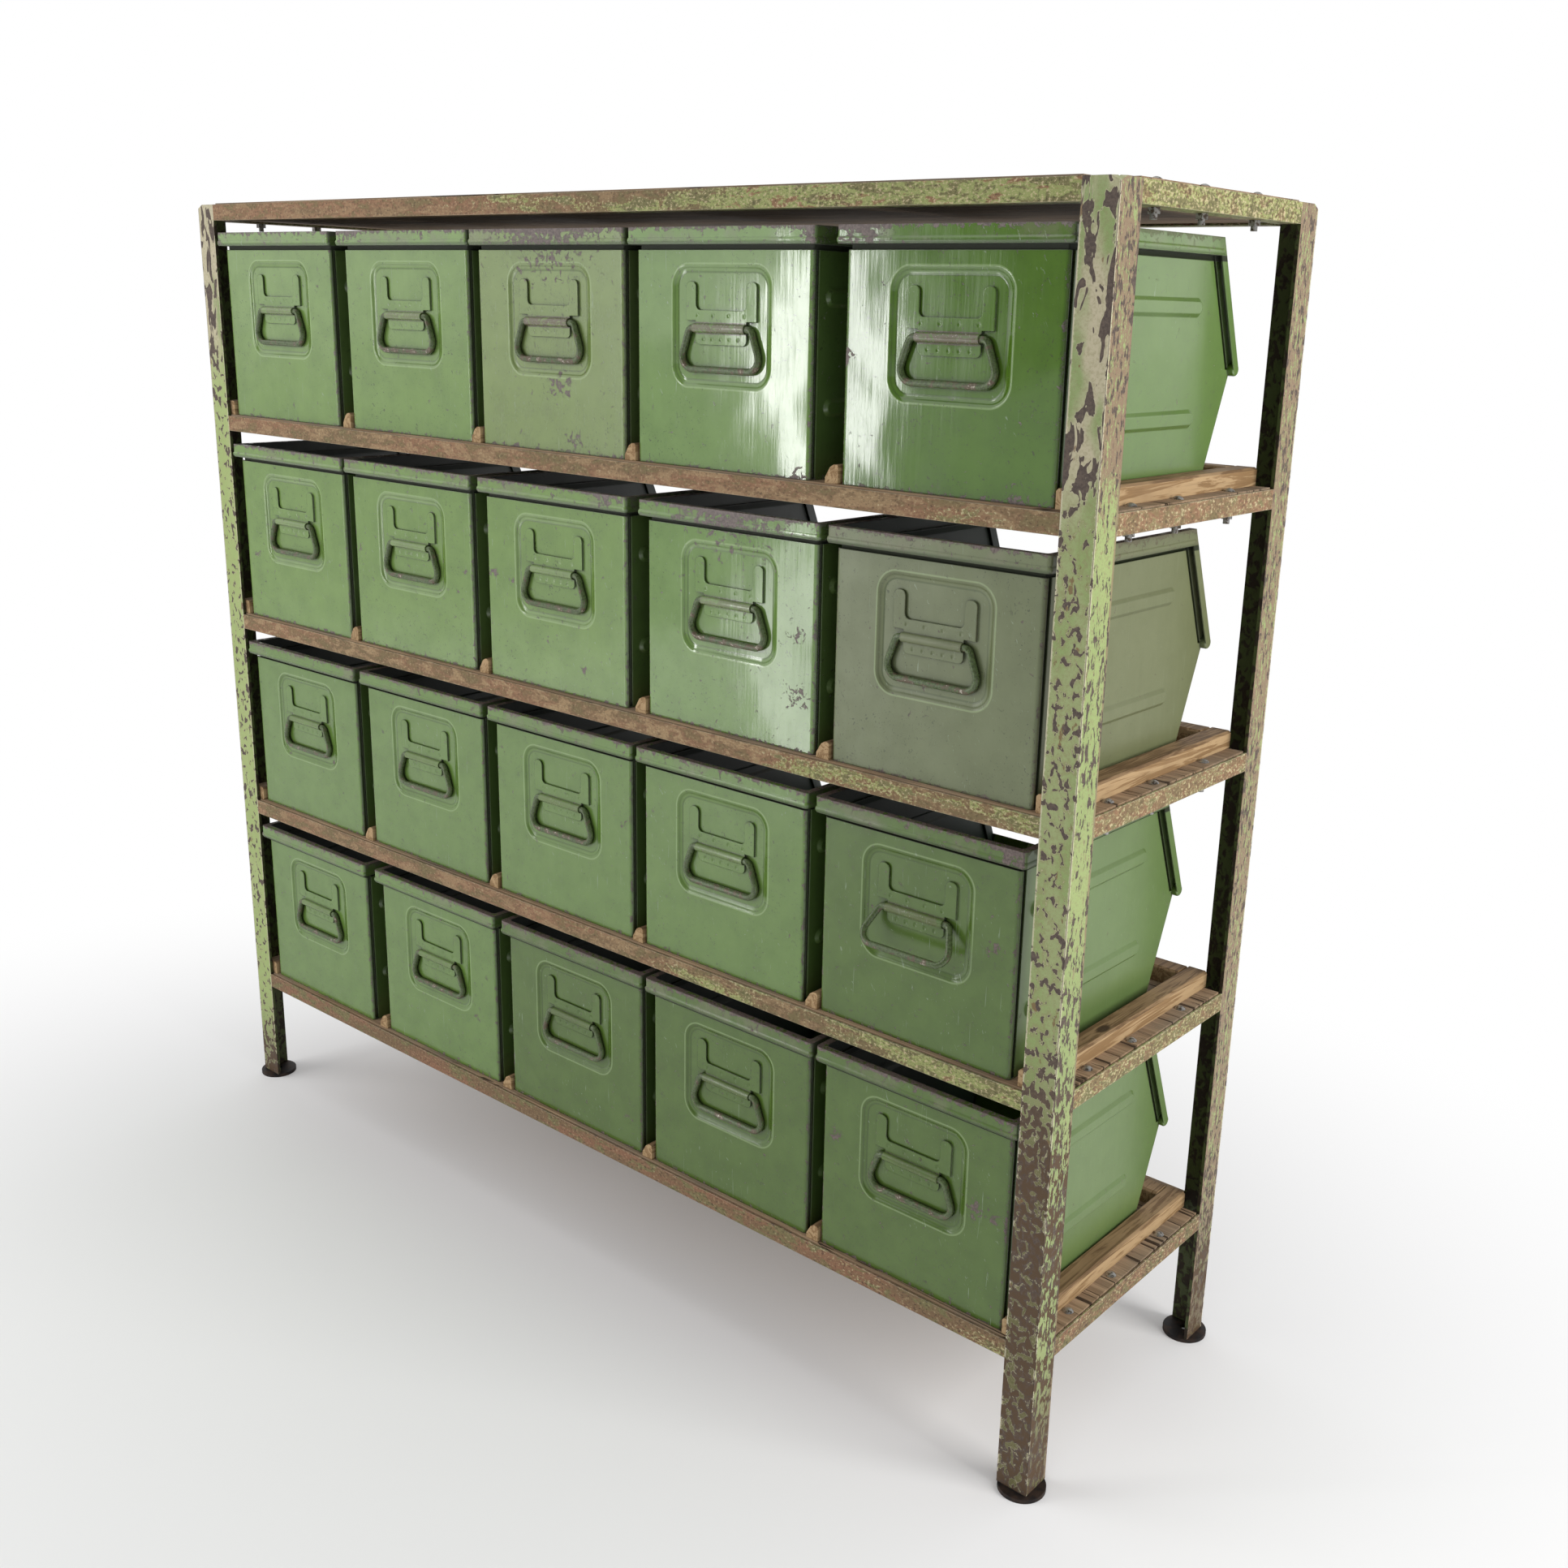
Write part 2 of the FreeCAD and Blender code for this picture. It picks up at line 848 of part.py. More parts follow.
def sweep_piece(edge, section, start, tangent):
    """Straight lengths are extruded and bends are turned about their centre."""
    if hasattr(edge.Curve, "Center"):
        centre = edge.Curve.Center
        end = edge.valueAt(edge.LastParameter)
        axis = (start - centre).cross(end - centre).normalize()
        turn = math.degrees((start - centre).getAngle(end - centre))
        return section.revolve(centre, axis, turn)
    return section.extrude(tangent * edge.Length)


def build():
    os.makedirs("parts", exist_ok=True)
    sides = {"left": -1, "right": 1}
    depths = {"front": -1, "rear": 1}
    feet = []
    for depth_name, side_y in depths.items():
        for side_name, side_x in sides.items():
            save("post_" + depth_name + "_" + side_name, [corner_post(side_x, side_y)])
            feet.append(foot_disc(side_x, side_y))
    save("foot_discs", feet)

    tops = level_tops()
    save("rails_top", rails(top_level))
    save("boards_top", planks(top_level))
    for row, top in enumerate(tops):
        save("rails_shelf_" + str(row + 1), rails(top))
        save("boards_shelf_" + str(row + 1), planks(top))
        save("battens_shelf_" + str(row + 1), battens(row, top))

    fasteners = []
    for top in [top_level] + tops:
        for x, y in bolt_places([-1, 1]):
            fasteners.append(carriage_bolt(x, y, top))
            fasteners.append(hex_nut(x, y, top))
    save("carriage_bolts", fasteners)

    shell = bin_shell()
    plate = handle_plate()
    hanging = wire_pull(0)
    swung = wire_pull(swung_angle)
    for row, top in enumerate(tops):
        for column in range(column_count):
            place = vector(bin_middle(row, column), bin_face(), plank_top(top))
            tag = "r" + str(row + 1) + "_c" + str(column + 1)
            is_swung = row + 1 == swung_row and column + 1 == swung_column
            pull = swung if is_swung else hanging
            save("bin_" + tag, [shell.translated(place), plate.translated(place)])
            save("bail_" + tag, [pull.translated(place)])


build()
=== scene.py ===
import bpy
import math
from mathutils import Matrix, Vector


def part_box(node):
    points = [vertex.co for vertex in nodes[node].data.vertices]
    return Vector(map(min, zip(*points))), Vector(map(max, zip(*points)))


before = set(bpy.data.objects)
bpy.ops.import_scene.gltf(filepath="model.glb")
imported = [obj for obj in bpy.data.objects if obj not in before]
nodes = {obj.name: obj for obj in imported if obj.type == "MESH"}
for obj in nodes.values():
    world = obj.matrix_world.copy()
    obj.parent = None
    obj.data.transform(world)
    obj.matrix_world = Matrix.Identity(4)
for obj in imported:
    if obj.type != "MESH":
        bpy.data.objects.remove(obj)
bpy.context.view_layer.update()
print("frame loaded", len(nodes), "nodes")


# Shader sockets with arithmetic

class Socket:
    def __init__(self, surface, output):
        self.surface = surface
        self.output = output

    def maths(self, operation, *inputs):
        values = {index: value for index, value in enumerate(inputs)}
        return self.surface.add("ShaderNodeMath", {"operation": operation}, values)

    def __add__(self, other):
        return self.maths("ADD", self, other)

    def __radd__(self, other):
        return self.maths("ADD", other, self)

    def __sub__(self, other):
        return self.maths("SUBTRACT", self, other)

    def __rsub__(self, other):
        return self.maths("SUBTRACT", other, self)

    def __mul__(self, other):
        return self.maths("MULTIPLY", self, other)

    def __truediv__(self, other):
        return self.maths("DIVIDE", self, other)

    def __pow__(self, other):
        return self.maths("POWER", self, other)

    def size(self):
        return self.maths("ABSOLUTE", self)

    def wave(self):
        return self.maths("SINE", self)

    def least(self, other):
        return self.maths("MINIMUM", self, other)

    def most(self, other):
        return self.maths("MAXIMUM", self, other)

    # 0 below low, 1 above high, smooth between; low may be the larger
    def rise(self, low, high):
        settings = {"interpolation_type": "SMOOTHSTEP"}
        values = {"Value": self, "From Min": low, "From Max": high}
        return self.surface.add("ShaderNodeMapRange", settings, values)


# One material and its node tree
class Surface:
    def __init__(self, name, **constants):
        self.material = bpy.data.materials.new(name)
        self.material.use_nodes = True
        self.tree = self.material.node_tree
        self.shader = self.tree.nodes["Principled BSDF"]
        for key, value in constants.items():
            self.shader.inputs[key.replace("_", " ")].default_value = value
        coordinates = self.tree.nodes.new("ShaderNodeTexCoord")
        self.place = Socket(self, coordinates.outputs["Object"])

    def put(self, slot, value):
        if isinstance(value, Socket):
            self.tree.links.new(value.output, slot)
        elif hasattr(slot.default_value, "__len__") and len(slot.default_value) == 4:
            slot.default_value = tuple(value) + (1.0,) * (4 - len(value))
        else:
            slot.default_value = value

    def add(self, kind, settings=None, values=None, output=0):
        node = self.tree.nodes.new(kind)
        for key, value in (settings or {}).items():
            setattr(node, key, value)
        for key, value in (values or {}).items():
            self.put(node.inputs[key], value)
        return Socket(self, node.outputs[output])

    def axes(self, place):
        return [self.add("ShaderNodeSeparateXYZ", {}, {0: place}, axis) for axis in range(3)]

    def shift(self, place, offset):
        return self.add("ShaderNodeVectorMath", {"operation": "ADD"}, {0: place, 1: offset})

    def stretch(self, place, factors):
        return self.add("ShaderNodeVectorMath", {"operation": "MULTIPLY"}, {0: place, 1: factors})

    def noise(self, place, scale, detail=4.0, roughness=0.55, distortion=0.0):
        values = {
            "Vector": place,
            "Scale": scale,
            "Detail": detail,
            "Roughness": roughness,
            "Distortion": distortion,
        }
        return self.add("ShaderNodeTexNoise", {}, values)

    def cells(self, place, scale, feature="F1"):
        values = {"Vector": place, "Scale": scale}
        return self.add("ShaderNodeTexVoronoi", {"feature": feature}, values)

    def mix(self, factor, first, second):
        return self.add("ShaderNodeMix", {"data_type": "RGBA"}, {0: factor, 6: first, 7: second}, 2)

    def blend(self, factor, first, second):
        return self.add("ShaderNodeMix", {}, {0: factor, 2: first, 3: second})

    def bump(self, height, distance, strength=1.0, base=None):
        values = {"Height": height, "Distance": distance, "Strength": strength}
        if base:
            values["Normal"] = base
        return self.add("ShaderNodeBump", {}, values)

    def normal(self):
        return self.add("ShaderNodeNewGeometry", {}, {}, 1)

    # Surface direction with every edge rounded to a radius
    def round(self, radius):
        return self.add("ShaderNodeBevel", {"samples": 4}, {"Radius": radius})

    # 1 along folds and edges within the radius, 0 on the flat
    def edges(self, radius, low, high):
        settings = {"operation": "DOT_PRODUCT"}
        values = {0: self.round(radius), 1: self.normal()}
        same = self.add("ShaderNodeVectorMath", settings, values, "Value")
        return (1.0 - same).rise(low, high)

    # 1 deep in a corner or slit within the reach, 0 in the open
    def corners(self, reach, low, high):
        node = self.add("ShaderNodeAmbientOcclusion", {"samples": 4}, {"Distance": reach}, "AO")
        return node.rise(high, low)

    def turn(self, place, angles):
        values = {"Vector": place, "Rotation": angles}
        return self.add("ShaderNodeVectorRotate", {"rotation_type": "EULER_XYZ"}, values)

    def finish(self, **links):
        for key, value in links.items():
            self.put(self.shader.inputs[key.replace("_", " ")], value)
        return self.material


# Flaking green paint over rust on the posts: dark blobs where it came off
postLook = {
    "halfWidth": 0.875,
    "halfDepth": 0.238,
    "leg": 0.045,
    "green": (0.225, 0.300, 0.112),
    "pale": (0.28, 0.345, 0.135),
    "khaki": (0.225, 0.205, 0.100),
    "cream": (0.46, 0.41, 0.28),
    "tan": (0.225, 0.150, 0.098),
    "bare": (0.078, 0.060, 0.052),
    "bareLight": (0.125, 0.096, 0.076),
    "rust": (0.170, 0.090, 0.044),
    "brown": (0.098, 0.062, 0.036),
    "olive": (0.105, 0.092, 0.036),
    "fresh": (0.37, 0.46, 0.165),
    "worn": (0.55, 0.50, 0.36),
    "heelShade": (0.055, 0.045, 0.035),
    "shaded": (0.058, 0.074, 0.024),
    "shadedBrown": (0.030, 0.022, 0.014),
}


def makePostPaint(name, look, high, low, tanned, fresh):
    surface = Surface(name, Specular_IOR_Level=0.25)
    place = surface.place
    x, y, z = surface.axes(place)
    nx, ny = surface.axes(surface.normal())[:2]
    sideways = nx.size().rise(0.4, 0.6)  # faces that look along the rack
    ahead = 1.0 - sideways
    tall = surface.stretch(place, (1.0, 1.0, 0.40))
    broad = surface.noise(tall, 16.0, 3.0)
    large = surface.noise(tall, 60.0, 3.0, 0.5, 0.7)
    small = surface.noise(surface.stretch(place, (1.0, 1.0, 0.75)), 105.0, 3.0, 0.5, 0.6)
    specks = surface.noise(surface.stretch(place, (1.0, 1.0, 0.28)), 230.0, 3.0, 0.6, 0.5)
    grain = surface.noise(place, 330.0, 4.0, 0.65)
    fine = surface.noise(place, 900.0, 2.0, 0.6)
    # Share of lost paint by height: much near the top, most near the floor
    top = z.rise(high, high + 0.12)
    foot = z.rise(low, low - 0.22)
    creamy = (broad + top * 0.05).rise(0.42, 0.58) * (0.25 + top * 0.75)
    base = surface.mix(creamy, look["green"], look["cream"])
    base = surface.mix(small.rise(0.46, 0.54) * (1.0 - top) * 0.55, base, look["khaki"])
    side = surface.mix(broad.rise(0.40, 0.60) * 0.6, look["pale"], look["green"])
    mottled = (specks * 0.6 + grain * 0.4 + (top.most(tanned) - 0.5) * 0.13).rise(0.465, 0.535)
    side = surface.mix(mottled, side, look["tan"])
    side = surface.mix(z.rise(0.24, 0.04) * (0.35 + small * 1.1), side, look["brown"])
    base = surface.mix(sideways, base, side)
    base = surface.mix(foot * ahead * 0.92, base, look["olive"])
    base = surface.mix(grain.rise(0.42, 0.68) * 0.45, base, look["khaki"])
    base = surface.mix(fine.rise(0.55, 0.70) * 0.25, base, look["cream"])
    base = surface.mix((1.0 - top) * (1.0 - foot) * fresh, base, look["fresh"])
    flaking = surface.blend(top, small, large) - 0.578 + top * 0.028 + foot * 0.135
    flaking = flaking + (broad - 0.5) * 0.20
    flecks = specks * 0.55 + small * 0.45 - 0.540 + foot * 0.060 + (broad - 0.5) * 0.20
    flaking = surface.blend(sideways, flaking, flecks)
    bare = flaking.rise(0.0, 0.008)
    halo = flaking.rise(-0.018, -0.006)
    bareTone = surface.mix(grain.rise(0.35, 0.65), look["bare"], look["bareLight"])
    bareTone = surface.mix(foot * small.rise(0.42, 0.58), bareTone, look["brown"])
    rusted = surface.noise(surface.stretch(place, (1.0, 1.0, 0.5)), 70.0, 4.0, 0.6)
    heelX = (look["halfWidth"] - x.size()).size()
    heelY = (look["halfDepth"] - y.size()).size()
    rimX = (look["halfWidth"] - look["leg"] - x.size()).size()
    rimY = (look["halfDepth"] - look["leg"] - y.size()).size()
    heel = heelX.most(heelY)
    worn = (heel.least(rimX) * 300.0 + grain * 1.6).rise(1.55, 1.10)
    heelShade = ahead * (heel * 1000.0 + grain).rise(1.5, 0.9)
    strip = sideways * (rimY * 1000.0 + specks * 8.0).rise(8.5, 6.5)
    colour = surface.mix(halo * ahead * 0.6, base, look["cream"])
    colour = surface.mix(strip * 0.75, colour, look["tan"])
    colour = surface.mix(worn * 0.75, colour, look["worn"])
    colour = surface.mix(rusted.rise(0.650, 0.690) * ahead * 0.8, colour, look["rust"])
    colour = surface.mix(bare, colour, bareTone)
    # Painted shade: a thin dark line along the heel of the angle
    colour = surface.mix(heelShade * 0.8, colour, look["heelShade"])
    # Painted shade on the inner faces of the angle, which face into the rack
    inward = nx * x / look["halfWidth"] + ny * y / look["halfDepth"]
    innerShade = inward.rise(-0.4, -0.8)
    shaded = surface.mix(small.rise(0.46, 0.56), look["shaded"], look["shadedBrown"])
    colour = surface.mix(innerShade, colour, shaded)
    roughness = surface.blend(bare, 0.45, 0.75)
    relief = (1.0 - bare) * 0.5 + fine * 0.25 + grain * 0.35
    normal = surface.bump(relief, 0.0005, 0.6, surface.round(0.0012))
    return surface.finish(Base_Color=colour, Roughness=roughness, Normal=normal)


# Speckled rails: rust brown over the old paint, greener near the right end
railLook = {
    "green": (0.27, 0.295, 0.110),
    "olive": (0.165, 0.152, 0.066),
    "cream": (0.50, 0.41, 0.25),
    "tan": (0.32, 0.220, 0.118),
    "brown": (0.175, 0.112, 0.060),
    "red": (0.235, 0.120, 0.070),
    "dark": (0.045, 0.032, 0.022),
    "worn": (0.55, 0.50, 0.38),
}

# Where along the rack the paint turns green, how green it is, how dark the rust
railTones = {
    "rails_top": (0.12, 0.9, 0.45),
    "rails_shelf_1": (0.75, 0.5, 0.30),
    "rails_shelf_2": (0.55, 0.6, 0.10),
    "rails_shelf_3": (0.30, 0.7, 0.35),
    "rails_shelf_4": (0.70, 0.5, 1.00),
}


def makeRailPaint(name, look, greenFrom, greenShare, darkness):
    surface = Surface(name, Specular_IOR_Level=0.22)
    place = surface.place
    x = surface.axes(place)[0]
    sideways = surface.axes(surface.normal())[0].size().rise(0.4, 0.6)
    broad = surface.noise(surface.stretch(place, (1.0, 6.0, 6.0)), 5.0, 3.0)
    patches = surface.noise(surface.stretch(place, (0.4, 0.5, 1.0)), 80.0, 5.0, 0.62, 0.5)
    specks = surface.noise(surface.stretch(place, (0.7, 0.7, 1.0)), 300.0, 4.0, 0.65)
    fine = surface.noise(place, 1000.0, 2.0, 0.6)
    along = (x + broad * 1.9 - 0.95).rise(greenFrom - 0.35, greenFrom + 0.35)
    greenish = surface.blend(sideways, along, 0.65) * greenShare
    rusty = surface.mix(broad.rise(0.40, 0.62), look["brown"], look["red"])
    rusty = surface.mix(patches.rise(0.46, 0.60) * (1.0 - darkness), rusty, look["tan"])
    stained = patches.rise(0.50, 0.40) * (0.35 + darkness * 0.5)
    rusty = surface.mix(stained, rusty, look["olive"])
    painted = surface.mix(patches.rise(0.50, 0.56), look["green"], look["olive"])
    painted = surface.mix(patches.rise(0.44, 0.38) * 0.9, painted, look["red"])
    painted = surface.mix(specks.rise(0.54, 0.60) * 0.7, painted, look["cream"])
    kept = (patches * 0.55 + specks * 0.45 + greenish * 0.34).rise(0.63, 0.69)
    colour = surface.mix(kept, rusty, painted)
    colour = surface.mix(specks.rise(0.55, 0.66) * 0.45, colour, look["cream"])
    colour = surface.mix(specks.rise(0.46, 0.36) * (0.45 + darkness * 0.4), colour, look["dark"])
    # Painted shade in corners and where the rail meets other parts, from the occlusion node
    colour = surface.mix(surface.corners(0.012, 0.35, 0.75) * 0.7, colour, look["dark"])
    edge = surface.edges(0.0014, 0.01, 0.12)
    colour = surface.mix(edge * patches.rise(0.3, 0.5) * 0.6, colour, look["worn"])
    relief = specks * 0.5 + fine * 0.3 + patches * 0.4
    normal = surface.bump(relief, 0.0005, 0.6, surface.round(0.0016))
    roughness = 0.42 + specks * 0.35
    return surface.finish(Base_Color=colour, Roughness=roughness, Normal=normal)


# Dark oxidised steel of the foot discs
footLook = {
    "black": (0.014, 0.012, 0.012),
    "brown": (0.055, 0.034, 0.024),
}


def makeFootSteel(look):
    surface = Surface("footSteel", Metallic=0.5)
    patches = surface.noise(surface.place, 60.0, 5.0)
    fine = surface.noise(surface.place, 600.0, 3.0)
    colour = surface.mix(patches.rise(0.4, 0.7), look["black"], look["brown"])
    normal = surface.bump(patches * 0.5 + fine * 0.5, 0.0004, 0.6, surface.round(0.0010))
    return surface.finish(Base_Color=colour, Roughness=0.45 + patches * 0.3, Normal=normal)


# Old sawn planks: grey brown, open grain along the rack, cracked ends
plankLook = {
    "end": 0.8705,
    "light": (0.37, 0.255, 0.155),
    "brown": (0.215, 0.140, 0.082),
    "dark": (0.050, 0.032, 0.020),
    "grey": (0.20, 0.165, 0.125),
}


def makePlankWood(name, look):
    surface = Surface(name, Specular_IOR_Level=0.3)
    place = surface.place
    x = surface.axes(place)[0]
    grain = surface.noise(surface.stretch(place, (1.2, 26.0, 26.0)), 3.0, 8.0, 0.62, 1.2)
    fibres = surface.noise(surface.stretch(place, (4.0, 240.0, 240.0)), 2.0, 4.0, 0.7)
    stains = surface.noise(place, 5.0, 4.0)
    colour = surface.mix(grain.rise(0.35, 0.65), look["brown"], look["light"])
    colour = surface.mix(stains.rise(0.42, 0.68) * 0.7, colour, look["grey"])
    endNear = (look["end"] - x.size()).rise(0.12, 0.0)
    cracks = surface.noise(surface.stretch(place, (3.0, 90.0, 20.0)), 1.0, 5.0, 0.6, 0.8)
    cracked = (cracks + endNear * 0.040).rise(0.625, 0.650)
    colour = surface.mix(fibres.rise(0.5, 0.75) * 0.4, colour, look["dark"])
    colour = surface.mix(cracked, colour, look["dark"])
    relief = grain * 0.4 + fibres * 0.25 - cracked * 1.6
    normal = surface.bump(relief, 0.0012, 0.8, surface.round(0.0012))
    return surface.finish(Base_Color=colour, Roughness=0.72 + fibres * 0.2, Normal=normal)


# Strips of sawn pine: pale flanks, brown tops, here and there a knot
battenLook = {
    "pale": (0.42, 0.285, 0.150),
    "paleDark": (0.25, 0.150, 0.068),
    "brown": (0.22, 0.135, 0.068),
    "brownDark": (0.115, 0.065, 0.032),
    "dark": (0.055, 0.030, 0.016),
}


def makeBattenWood(look):
    surface = Surface("battenWood", Specular_IOR_Level=0.35)
    place = surface.place
    knots = surface.cells(surface.stretch(place, (2.0, 1.0, 2.0)), 4.2)
    knotted = knots.rise(0.13, 0.0)
    turned = surface.noise(place, 2.0, 1.0) * 0.3 + knotted * 0.25
    grain = surface.noise(surface.stretch(place, (34.0, 2.2, 34.0)), 2.0, 6.0, 0.6, 1.2)
    rings = (grain * 26.0 + turned * 20.0).wave()
    fibres = surface.noise(surface.stretch(place, (260.0, 6.0, 260.0)), 2.0, 3.0, 0.7)
    upward = surface.axes(surface.normal())[2].rise(0.3, 0.8)
    pale = surface.mix(rings.rise(-0.6, 1.0), look["pale"], look["paleDark"])
    brown = surface.mix(rings.rise(-0.6, 1.0), look["brown"], look["brownDark"])
    stains = surface.noise(place, 11.0, 3.0)
    colour = surface.mix(upward * (0.55 + stains.rise(0.3, 0.7) * 0.45), pale, brown)
    colour = surface.mix(stains.rise(0.55, 0.75) * 0.4, colour, look["brown"])
    colour = surface.mix(fibres.rise(0.5, 0.8) * 0.3, colour, look["dark"])
    colour = surface.mix(knots.rise(0.075, 0.045), colour, look["dark"])
    normal = surface.bump(rings * 0.15 + fibres * 0.35, 0.0007, 0.7, surface.round(0.0014))
    return surface.finish(Base_Color=colour, Roughness=0.60 + fibres * 0.2, Normal=normal)


# Dull zinc of the bolts and nuts
boltLook = {
    "zinc": (0.42, 0.41, 0.39),
    "dull": (0.14, 0.11, 0.085),
}


def makeBoltSteel(look):
    surface = Surface("boltSteel", Metallic=0.85)
    spots = surface.noise(surface.place, 260.0, 5.0)
    colour = surface.mix(spots.rise(0.48, 0.62), look["zinc"], look["dull"])
    normal = surface.bump(spots, 0.0003, 0.5, surface.round(0.0006))
    return surface.finish(Base_Color=colour, Roughness=0.35 + spots * 0.35, Normal=normal)


# Bin paint: gloss green worn to dark metal along the edges. Lengths in metres.
binForm = {
    "halfWidth": 0.150,
    "height": 0.295,
    "rimReach": 0.010,
    "rimFoot": 0.274,
    "recess": 0.176,
    "halfRecess": 0.085,
    "halfRecessHeight": 0.075,
    "recessRound": 0.028,
    "lipInset": 0.0095,
    "lipOffset": 0.0006,
    "tunnel": 0.174,
    "halfTunnel": 0.045,
    "floorWave": 11.47,
    "acrossWave": 10.47,
    "bulge": 0.0083,
    "bare": (0.075, 0.052, 0.046),
    "bareLight": (0.16, 0.12, 0.105),
    "pale": (0.30, 0.36, 0.27),
    # Painted shade for the inner faces of the bin
    "inside": (0.014, 0.024, 0.015),
    # Painted shade colour for slits, corners and grooves
    "paintedShade": (0.020, 0.026, 0.010),
    "brown": (0.120, 0.090, 0.058),
    "rubbedGlint": (0.42, 0.39, 0.33),
    # Lighter green of the side walls, painted light
    "side": (0.150, 0.215, 0.085),
    # Painted shade colour for the side walls that face the gaps between bins
    "slot": (0.012, 0.028, 0.004),
    "slotShade": 0.55,
    "dust": (0.17, 0.17, 0.08),
    "rimDust": (0.19, 0.185, 0.115),
    "beadShade": (0.028, 0.052, 0.012),
    "fold": (0.045, 0.060, 0.022),
    # Painted highlight and painted shade colours of the recess lip
    "lipHighlight": (0.40, 0.52, 0.26),
    "lipShade": (0.030, 0.055, 0.010),
    "flake": (0.050, 0.060, 0.026),
}

# Paints of the bins. The bulge and the sway bend the reflections in the handle wall.
greens = {
    "mid": {
        "paint": (0.160, 0.262, 0.062),
        "deep": (0.124, 0.212, 0.046),
        "rough": 0.20,
        "ior": 1.90,
        "bulge": 0.5,
    },
    # The low and dark greens, used in the lower rows, are darker partly as painted shade for the
    # less light that reaches them
    "low": {
        "paint": (0.116, 0.204, 0.040),
        "deep": (0.092, 0.168, 0.030),
        "rough": 0.22,
        "ior": 1.70,
        "bulge": 0.4,
    },
    "dark": {
        "paint": (0.078, 0.138, 0.022),
        "deep": (0.060, 0.110, 0.015),
        "rough": 0.22,
        "ior": 1.62,
        "bulge": 0.4,
    },
    "yellow": {
        "paint": (0.182, 0.252, 0.074),
        "deep": (0.148, 0.208, 0.058),
        "rough": 0.26,
        "ior": 1.85,
        "bulge": 0.4,
    },
    "gloss": {
        "paint": (0.152, 0.258, 0.064),
        "deep": (0.118, 0.210, 0.045),
        "rough": 0.11,
        "ior": 1.92,
        "bulge": 1.0,
        "sway": (0.13, -0.22),
    },
    "deep": {
        "paint": (0.080, 0.164, 0.016),
        "deep": (0.062, 0.134, 0.011),
        "rough": 0.10,
        "ior": 1.85,
        "bulge": 1.0,
        "sway": (-0.02, 0.12),
    },
    "olive": {
        "paint": (0.140, 0.166, 0.076),
        "deep": (0.116, 0.138, 0.060),
        "rough": 0.32,
        "ior": 1.65,
        "bulge": 0.4,
        "side": (0.150, 0.155, 0.074),
    },
}

# Green, wear, wear of the tunnel, then the places where paint is lost:
# across, height, reach (metres)
binLooks = [
    [
        ("mid", 0.0, 0.4, []),
        ("mid", 0.0, 0.5, [(-0.12, 0.30, 0.05)]),
        ("yellow", 0.015, 0.9, [(0.02, 0.09, 0.05), (0.0, 0.30, 0.16), (0.05, 0.02, 0.03)]),
        ("gloss", 0.0, 0.8, [(0.15, 0.29, 0.04), (0.13, 0.01, 0.02)]),
        ("deep", 0.0, 0.9, [(-0.12, 0.29, 0.06), (-0.145, 0.15, 0.03), (0.10, 0.01, 0.03)]),
    ],
    [
        ("mid", 0.01, 0.2, [(-0.12, 0.11, 0.02)]),
        ("mid", 0.01, 0.2, [(-0.135, 0.155, 0.022), (0.13, 0.15, 0.012)]),
        ("mid", 0.01, 0.2, [
            (-0.135, 0.155, 0.024), (-0.095, 0.15, 0.014), (0.06, 0.04, 0.02), (0.12, 0.29, 0.03),
        ]),
        ("gloss", 0.01, 0.5, [(0.12, 0.07, 0.04), (0.12, 0.15, 0.03), (0.0, 0.295, 0.14)]),
        ("olive", 0.0, 0.1, []),
    ],
    [
        ("low", 0.0, 0.2, []),
        ("low", 0.0, 0.2, []),
        ("low", 0.0, 0.3, [(0.13, 0.17, 0.018)]),
        ("low", 0.0, 0.2, []),
        ("dark", 0.01, 0.4, [(0.115, 0.16, 0.026), (0.14, 0.29, 0.05)]),
    ],
    [
        ("low", 0.0, 0.2, []),
        ("low", 0.01, 0.2, [(0.10, 0.10, 0.02)]),
        ("dark", 0.01, 0.2, [(0.12, 0.05, 0.02)]),
        ("dark", 0.0, 0.2, []),
        ("dark", 0.01, 0.2, [(-0.13, 0.17, 0.026), (0.10, 0.155, 0.032), (0.135, 0.15, 0.026)]),
    ],
]


